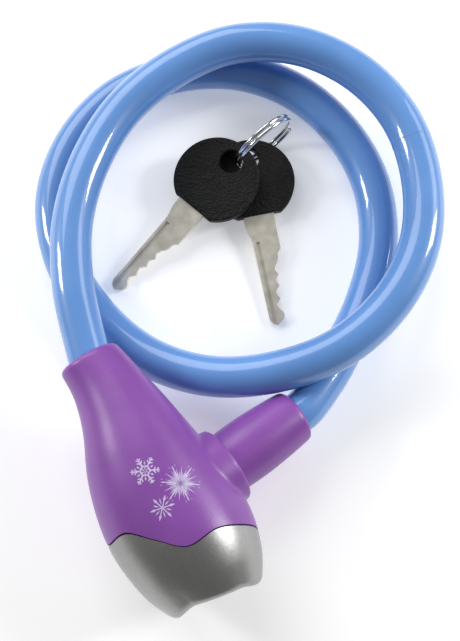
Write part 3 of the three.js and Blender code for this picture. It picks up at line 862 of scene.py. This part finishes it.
def make_key_head(name, matrix):
    corner = math.acos(KEY_CHORD / KEY_HEAD_RADIUS)
    middle = (KEY_HOLE_TO_MIDDLE, 0)
    outline = arc(middle, KEY_HEAD_RADIUS, corner, 2 * math.pi - corner, 120)
    hole = arc((0, 0), KEY_HOLE_RADIUS, 0, 2 * math.pi, 65)[:-1]
    head = flat_solid(name, outline, [hole], 0, KEY_HEAD_THICK, KEY_HEAD_EDGE, matrix)
    for side in (0, KEY_HEAD_THICK):
        place = matrix @ Matrix.Translation((KEY_HOLE_TO_MIDDLE, 0, side))
        inner, outer = (KEY_HEAD_RADIUS - inset for inset in KEY_RIM_LINE[:2])
        bottom = [(inner, -0.02), ((inner + outer) / 2, -KEY_RIM_LINE[2]), (outer, -0.02)]
        groove = [*bottom, (outer, 0.5), (inner, 0.5), bottom[0]]
        if side == 0:
            groove = [(radius, -height) for radius, height in groove]
        boolean(head, turned("line", groove, 128, place), "DIFFERENCE")
    flatten(head, matrix)
    return head


def make_key_blade(name, matrix):
    outline = [*KEY_BACK, *reversed(KEY_CUTS), *KEY_SHOULDER]
    low = (KEY_HEAD_THICK - KEY_BLADE_THICK) / 2
    high = low + KEY_BLADE_THICK
    piece = flat_solid(name, outline, [], low, high, KEY_BLADE_EDGE, matrix)
    start, far = KEY_GROOVE_START, KEY_BLADE_LENGTH + 2
    below, above = KEY_GROOVE_SIDES
    channel = [(start, below), (far, below), (far, above), (start, above)]
    cutter = flat_solid("groove", channel, [], high - KEY_GROOVE_DEPTH, high + 1, 0.01, matrix)
    boolean(piece, cutter, "DIFFERENCE")
    flatten(piece, matrix)
    return piece


def make_ring():
    t = np.linspace(0, 1, RING_STEPS)
    angle = 2 * math.pi * RING_TURNS * t
    radius = RING_OUTER - RING_WIRE
    across = -RING_PITCH * RING_TURNS * (t - 0.5)
    line = np.stack([radius * np.cos(angle), across, radius * np.sin(angle)], axis=1)
    points, faces = tube_along(line, RING_WIRE, 16)
    return new_piece("key_ring_coil", points, faces, ring_matrix())


key_pieces = {}
for key_name, key_hole_place, key_tip in KEYS:
    place = key_matrix(key_hole_place, key_tip)
    key_pieces[key_name] = (
        make_key_head(f"{key_name}_grip", place),
        make_key_blade(f"{key_name}_metal", place),
    )
ring = make_ring()

# ------------------------------------------------------------------ print

# Centre along and across the lock, radius, style and heading of each printed snowflake.
SNOWFLAKES = [
    (38.7, 3.5, 3.9, "branched", 12),
    (45.2, 10.6, 5.2, "burst", 4),
    (49.2, 4.0, 3.4, "plain", 25),
]
PRINT_LIFT = 0.03
ARMS = 6


def strip(start, end, width_start, width_end, count=8):
    """Quads from start to end of a straight stroke that tapers, as (x, y) pairs."""
    a, b = np.array(start, float), np.array(end, float)
    along = (b - a) / np.linalg.norm(b - a)
    across = np.array([-along[1], along[0]])
    quads = []
    for t, u in zip(np.arange(count) / count, np.arange(1, count + 1) / count):
        near, far = a + (b - a) * t, a + (b - a) * u
        near_half = (width_start + (width_end - width_start) * t) / 2 * across
        far_half = (width_start + (width_end - width_start) * u) / 2 * across
        quads.append([near - near_half, far - far_half, far + far_half, near + near_half])
    return quads


def diamond(middle, heading, length, width):
    """A long four-sided leaf as two tapering strokes."""
    direction = np.array([math.cos(heading), math.sin(heading)]) * length / 2
    middle = np.array(middle, float)
    near = strip(middle - direction, middle, 0.02, width, 4)
    return near + strip(middle, middle + direction, width, 0.02, 4)


def snowflake_arm(radius, style, heading):
    """The strokes of one arm."""

    def polar(distance, turn=0.0):
        angle = heading + turn
        return np.array([math.cos(angle), math.sin(angle)]) * distance * radius

    if style == "plain":
        strokes = strip(polar(0.02), polar(0.95), 0.34, 0.22)
        strokes += diamond(polar(0.7), heading, radius * 0.56, 0.72)
        strokes += diamond(polar(0.5, 0.52), heading + 0.52, radius * 0.5, 0.4)
        return strokes
    if style == "burst":
        strokes = diamond(polar(0.5), heading, radius * 0.98, 0.55)
        strokes += diamond(polar(0.84), heading, radius * 0.3, 0.42)
        for turn, reach in ((0.18, 0.8), (-0.18, 0.8), (0.36, 0.62), (-0.36, 0.62), (0.52, 0.92)):
            strokes += diamond(polar(reach * 0.55, turn), heading + turn, radius * reach * 0.85, 0.3)
        for turn in (0.16, -0.16):
            strokes += diamond(polar(0.94, turn), heading + turn, radius * 0.14, 0.16)
        return strokes
    strokes = strip(polar(0.3), polar(0.98), 0.42, 0.34)
    strokes += strip(polar(0.34), polar(0.34, math.pi / 3), 0.44, 0.44, 4)
    for reach, size in ((0.55, 0.26), (0.78, 0.2)):
        for turn in (0.9, -0.9):
            slant = np.array([math.cos(heading + turn), math.sin(heading + turn)])
            tip = polar(reach) + slant * size * radius
            strokes += strip(polar(reach), tip, 0.38, 0.3, 3)
    half_turn = math.pi / ARMS
    strokes += diamond(polar(0.16, half_turn), heading + half_turn, radius * 0.28, 0.3)
    strokes += diamond(polar(0.52, half_turn), heading + half_turn, radius * 0.26, 0.5)
    return strokes


def on_skin(flat):
    """Lifts (x, y) places of the lock's plan onto the top of the shell."""
    low = np.full(len(flat), 19.0)
    high = np.full(len(flat), 45.0)
    for _ in range(30):
        middle = (low + high) / 2
        outside = skin_field(np.column_stack([flat, middle])) > 0
        high = np.where(outside, middle, high)
        low = np.where(outside, low, middle)
    return np.column_stack([flat, high + PRINT_LIFT])


def make_print():
    """The pale snowflakes printed on the shell, as thin films just clear of it."""
    points, faces = [], []
    for x, y, radius, style, first in SNOWFLAKES:
        for arm in range(ARMS):
            heading = math.radians(first) + arm * 2 * math.pi / ARMS
            for quad in snowflake_arm(radius, style, heading):
                faces.append(tuple(range(len(points), len(points) + 4)))
                points += [(x + corner[0], y + corner[1]) for corner in quad]
    return new_piece("snowflake_print", on_skin(np.array(points)), faces, lock_matrix())


snow_print = make_print()

# ------------------------------------------------------------------ materials


class Look:
    """A material with its Principled shader and short ways to add nodes to it."""

    def __init__(self, name, colour, roughness, **values):
        self.material = bpy.data.materials.new(name)
        self.material.use_nodes = True
        self.tree = self.material.node_tree
        self.shader = self.tree.nodes["Principled BSDF"]
        self.set(self.shader, "Base Color", (*colour, 1))
        self.set(self.shader, "Roughness", roughness)
        for key, value in values.items():
            self.set(self.shader, key.replace("_", " ").title().replace("Ior", "IOR"), value)

    def set(self, node, socket, value):
        if isinstance(value, bpy.types.NodeSocket):
            self.tree.links.new(value, node.inputs[socket])
        else:
            node.inputs[socket].default_value = value

    def node(self, kind, **sockets):
        made = self.tree.nodes.new(kind)
        for socket, value in sockets.items():
            self.set(made, socket, value)
        return made

    def places(self, stretch=(1, 1, 1), turn=0.0):
        """Object coordinates, turned about Z and then stretched."""
        coordinates = self.node("ShaderNodeTexCoord").outputs["Object"]
        sockets = {"Vector": coordinates, "Scale": stretch, "Rotation": (0, 0, turn)}
        return self.node("ShaderNodeMapping", **sockets).outputs["Vector"]

    def noise(self, size, detail=2.0, where=None):
        """Smooth noise whose lumps are about size millimetres across."""
        sockets = {"Vector": where or self.places(), "Scale": 1 / (size * MM), "Detail": detail}
        return self.node("ShaderNodeTexNoise", **sockets).outputs["Fac"]

    def cells(self, size, output="Distance"):
        made = self.node("ShaderNodeTexVoronoi", Vector=self.places(), Scale=1 / (size * MM))
        return made.outputs[output]

    def ramp(self, value, stops):
        made = self.node("ShaderNodeValToRGB", Fac=value)
        while len(made.color_ramp.elements) < len(stops):
            made.color_ramp.elements.new(0.5)
        for element, (place, colour) in zip(made.color_ramp.elements, stops):
            element.position = place
            element.color = (*colour, 1) if isinstance(colour, tuple) else (*[colour] * 3, 1)
        return made.outputs["Color"]

    def bump(self, height, depth, strength=1.0, after=None):
        """Relief of depth millimetres; after is an earlier bump that this one adds to."""
        sockets = {"Height": height, "Distance": depth * MM, "Strength": strength}
        made = self.node("ShaderNodeBump", **sockets)
        if after is not None:
            self.set(made, "Normal", after)
        return made.outputs["Normal"]


def violet_plastic():
    """Satin moulded plastic with the fine grain of a spark-eroded mould."""
    look = Look("violet_plastic", (0.24, 0.075, 0.37), 0.34, specular_ior_level=0.5)
    shade = look.ramp(look.noise(14, 2), [(0.3, (0.22, 0.066, 0.34)), (0.7, (0.255, 0.08, 0.39))])
    look.set(look.shader, "Base Color", shade)
    grain = look.noise(0.32, 3)
    look.set(look.shader, "Roughness", look.ramp(grain, [(0.3, 0.27), (0.7, 0.4)]))
    look.set(look.shader, "Normal", look.bump(grain, 0.04, 0.9, look.bump(look.noise(2.4), 0.02)))
    return look.material


def silver_paint():
    """Metal-flake paint: small flakes that each catch the light differently."""
    shine = {"metallic": 0.95, "coat_weight": 0.3, "coat_roughness": 0.25}
    look = Look("silver_paint", (0.4, 0.4, 0.4), 0.36, **shine)
    flake = look.cells(0.2, "Color")
    tone = look.ramp(flake, [(0.0, (0.3, 0.3, 0.295)), (1.0, (0.37, 0.37, 0.365))])
    look.set(look.shader, "Base Color", tone)
    look.set(look.shader, "Roughness", look.ramp(look.noise(0.5, 2), [(0.3, 0.34), (0.7, 0.42)]))
    peel = look.bump(look.noise(1.6, 2), 0.02)
    look.set(look.shader, "Normal", look.bump(look.noise(0.2, 2), 0.02, 0.9, peel))
    return look.material


def blue_vinyl():
    """Glossy tinted vinyl over a steel rope, with a faint drawn unevenness."""
    look = Look("blue_vinyl", (0.125, 0.3, 0.68), 0.36, coat_weight=0.9, coat_roughness=0.06, ior=1.42)
    tone = look.ramp(look.noise(22, 2), [(0.3, (0.115, 0.28, 0.64)), (0.7, (0.135, 0.318, 0.71))])
    look.set(look.shader, "Base Color", tone)
    look.set(look.shader, "Roughness", look.ramp(look.noise(5, 3), [(0.3, 0.34), (0.75, 0.42)]))
    drawn = look.bump(look.noise(12, 1), 0.05)
    look.set(look.shader, "Normal", look.bump(look.noise(0.8, 2), 0.002, 1.0, drawn))
    return look.material


def black_plastic():
    """Hard black plastic with a leather grain, worn a little shinier on its high spots."""
    look = Look("black_plastic", (0.005, 0.005, 0.004), 0.45, specular_ior_level=0.22)
    pebbles = look.cells(0.65)
    look.set(look.shader, "Roughness", look.ramp(pebbles, [(0.1, 0.32), (0.6, 0.55)]))
    tone = look.ramp(look.noise(4, 3), [(0.3, (0.003, 0.003, 0.0025)), (0.7, (0.006, 0.006, 0.005))])
    look.set(look.shader, "Base Color", tone)
    lumps = look.bump(look.noise(2.2, 2), 0.1)
    look.set(look.shader, "Normal", look.bump(pebbles, 0.22, 1.0, lumps))
    return look.material


SCRATCH_SIZE = 0.25
SCRATCH_SPREAD = 0.22  # how far scratches move the roughness, from lowest to highest


def worn_metal(name, dark, light, roughness, heading=0.0, metallic=1.0):
    """Metal with fine scratches along a heading and cloudy handling marks."""
    look = Look(name, light, roughness, metallic=metallic)
    scratches = look.noise(SCRATCH_SIZE, 3, look.places((0.06, 1, 1), -heading))
    clouds = look.noise(3.5, 4)
    look.set(look.shader, "Base Color", look.ramp(clouds, [(0.3, dark), (0.7, light)]))
    marks = look.node("ShaderNodeMath")
    marks.operation = "MULTIPLY_ADD"
    look.set(marks, 0, scratches)
    look.set(marks, 1, SCRATCH_SPREAD)
    look.set(marks, 2, roughness - SCRATCH_SPREAD / 2)
    look.set(look.shader, "Roughness", marks.outputs[0])
    look.set(look.shader, "Normal", look.bump(scratches, 0.02, 0.5))
    return look.material


def pale_print():
    """Pad-printed ink: thin, matt and slightly patchy."""
    look = Look("pale_print", (0.56, 0.48, 0.7), 0.55)
    patchy = look.ramp(look.noise(0.5, 3), [(0.3, (0.47, 0.38, 0.62)), (0.6, (0.6, 0.53, 0.74))])
    look.set(look.shader, "Base Color", patchy)
    look.set(look.shader, "Normal", look.bump(look.noise(0.3), 0.01))
    return look.material


LOOKS = {
    "violet_plastic": violet_plastic(),
    "silver_paint": silver_paint(),
    "blue_vinyl": blue_vinyl(),
    "black_plastic": black_plastic(),
    "zinc": worn_metal("zinc", (0.3, 0.3, 0.3), (0.42, 0.42, 0.42), 0.5),
    "steel": worn_metal("steel", (0.48, 0.48, 0.48), (0.62, 0.62, 0.62), 0.32),
    "chrome": worn_metal("chrome", (0.6, 0.6, 0.61), (0.78, 0.78, 0.79), 0.16),
    "brass": worn_metal("brass", (0.5, 0.36, 0.13), (0.66, 0.5, 0.22), 0.34),
    "rope_steel": worn_metal("rope_steel", (0.4, 0.4, 0.4), (0.5, 0.5, 0.5), 0.42),
    "print": pale_print(),
}


def paint(piece, look):
    piece.data.materials.clear()
    piece.data.materials.append(look)


def dress(piece, look, slot, body, *nodes):
    paint(piece, look)
    if nodes:
        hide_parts(*nodes)
    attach(piece, body)


dress(shell, LOOKS["violet_plastic"], "violet_plastic", "lock_body", "body_shell")
dress(snow_print, LOOKS["print"], "violet_plastic", "lock_body")
dress(cap, LOOKS["silver_paint"], "silver_paint", "lock_body", "end_cap")
dress(sleeve, LOOKS["violet_plastic"], "violet_plastic", "plug", "plug_sleeve")
dress(mould_line, LOOKS["violet_plastic"], "violet_plastic", "plug")
dress(pin, LOOKS["steel"], "steel", "plug", "locking_pin")
dress(cable_mark, LOOKS["blue_vinyl"], "blue_vinyl", "lock_body")
for key_name, key_hole_place, key_tip in KEYS:
    head, blade = key_pieces[key_name]
    along_blade = key_heading(key_hole_place, key_tip)
    dark, light = (0.6, 0.56, 0.46), (0.8, 0.76, 0.65)
    nickel = worn_metal(f"{key_name}_nickel", dark, light, 0.42, along_blade, metallic=0.6)
    dress(head, LOOKS["black_plastic"], "black_plastic", key_name, f"{key_name}_head")
    dress(blade, nickel, "nickel", key_name, f"{key_name}_blade")
dress(ring, LOOKS["chrome"], "chrome", "key_ring", "split_ring")


def dress_inner_parts():
    """Gives each part of the model that still shows the finish its record names."""
    slots = {entry["node"]: entry["material_slot"] for entry in frame["record"]["subparts"]}
    for node, part in frame["nodes"].items():
        if part.hide_render:
            continue
        paint(part, LOOKS.get(slots.get(node), LOOKS["steel"]))


paint(cable, LOOKS["blue_vinyl"])
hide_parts("cable_sheath", "steel_rope")
dress_inner_parts()

# ------------------------------------------------------------------ how the cable bends

BEND_START = 430  # millimetres along the cable where it starts to follow the plug
BEND_END_BACK = 12  # and how far before its end it follows fully


def bend_with_plug():
    """The last part of the cable follows the plug, more and more towards its end."""
    gone = np.concatenate([[0], np.cumsum(np.linalg.norm(np.diff(cable_path, axis=0), axis=1))])
    bend_end = gone[-1] - BEND_END_BACK
    start, end = (tuple(cable_path[np.searchsorted(gone, at)] * MM) for at in (BEND_START, bend_end))
    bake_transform(cable, "lock_body", "plug", start, end)
    weights = np.repeat(smoothstep(gone, BEND_START, bend_end), CABLE_SIDES)
    attribute = cable.data.attributes["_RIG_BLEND"]
    attribute.data.foreach_set("value", weights.astype(np.float32))


bend_with_plug()

# ------------------------------------------------------------------ floor and light

FLOOR_HALF = 1.5  # metres
FLOOR_GLOW = 0.3
WORLD_STRENGTH = 0.22
LIGHT_TARGET = (0.01, 0.0, 0.02)


def make_floor():
    size = FLOOR_HALF
    mesh = bpy.data.meshes.new("floor")
    corners = [(-size, -size, 0), (size, -size, 0), (size, size, 0), (-size, size, 0)]
    mesh.from_pydata(corners, [], [(0, 1, 2, 3)])
    floor = bpy.data.objects.new("floor", mesh)
    bpy.context.scene.collection.objects.link(floor)
    look = Look("floor", (0.9, 0.9, 0.9), 0.7, specular_ior_level=0.2, emission_strength=FLOOR_GLOW)
    look.set(look.shader, "Emission Color", (1, 1, 1, 1))
    tone = look.ramp(look.noise(60, 3), [(0.3, 0.89), (0.7, 0.91)])
    look.set(look.shader, "Base Color", tone)
    mesh.materials.append(look.material)


def make_light(name, place, size, power):
    data = bpy.data.lights.new(name, "AREA")
    data.shape = "RECTANGLE"
    data.size, data.size_y = size
    data.energy = power
    light = bpy.data.objects.new(name, data)
    bpy.context.scene.collection.objects.link(light)
    light.location = place
    away = Vector(place) - Vector(LIGHT_TARGET)
    light.rotation_euler = away.to_track_quat("Z", "Y").to_euler()


def make_world():
    world = bpy.data.worlds.new("studio")
    world.use_nodes = True
    background = world.node_tree.nodes["Background"]
    background.inputs["Color"].default_value = (1, 1, 1, 1)
    background.inputs["Strength"].default_value = WORLD_STRENGTH
    bpy.context.scene.world = world


bpy.context.scene.view_settings.view_transform = "Standard"
make_floor()
make_world()
make_light("soft_key", (-0.45, 0.9, 0.8), (1.0, 0.8), 9)
make_light("soft_fill", (0.95, 0.75, 0.7), (0.6, 0.5), 3)
make_light("left_box", (-0.75, 0.22, 0.42), (0.16, 0.24), 3.2)
make_light("right_box", (0.75, 0.2, 0.44), (0.18, 0.27), 4)

bpy.context.view_layer.update()
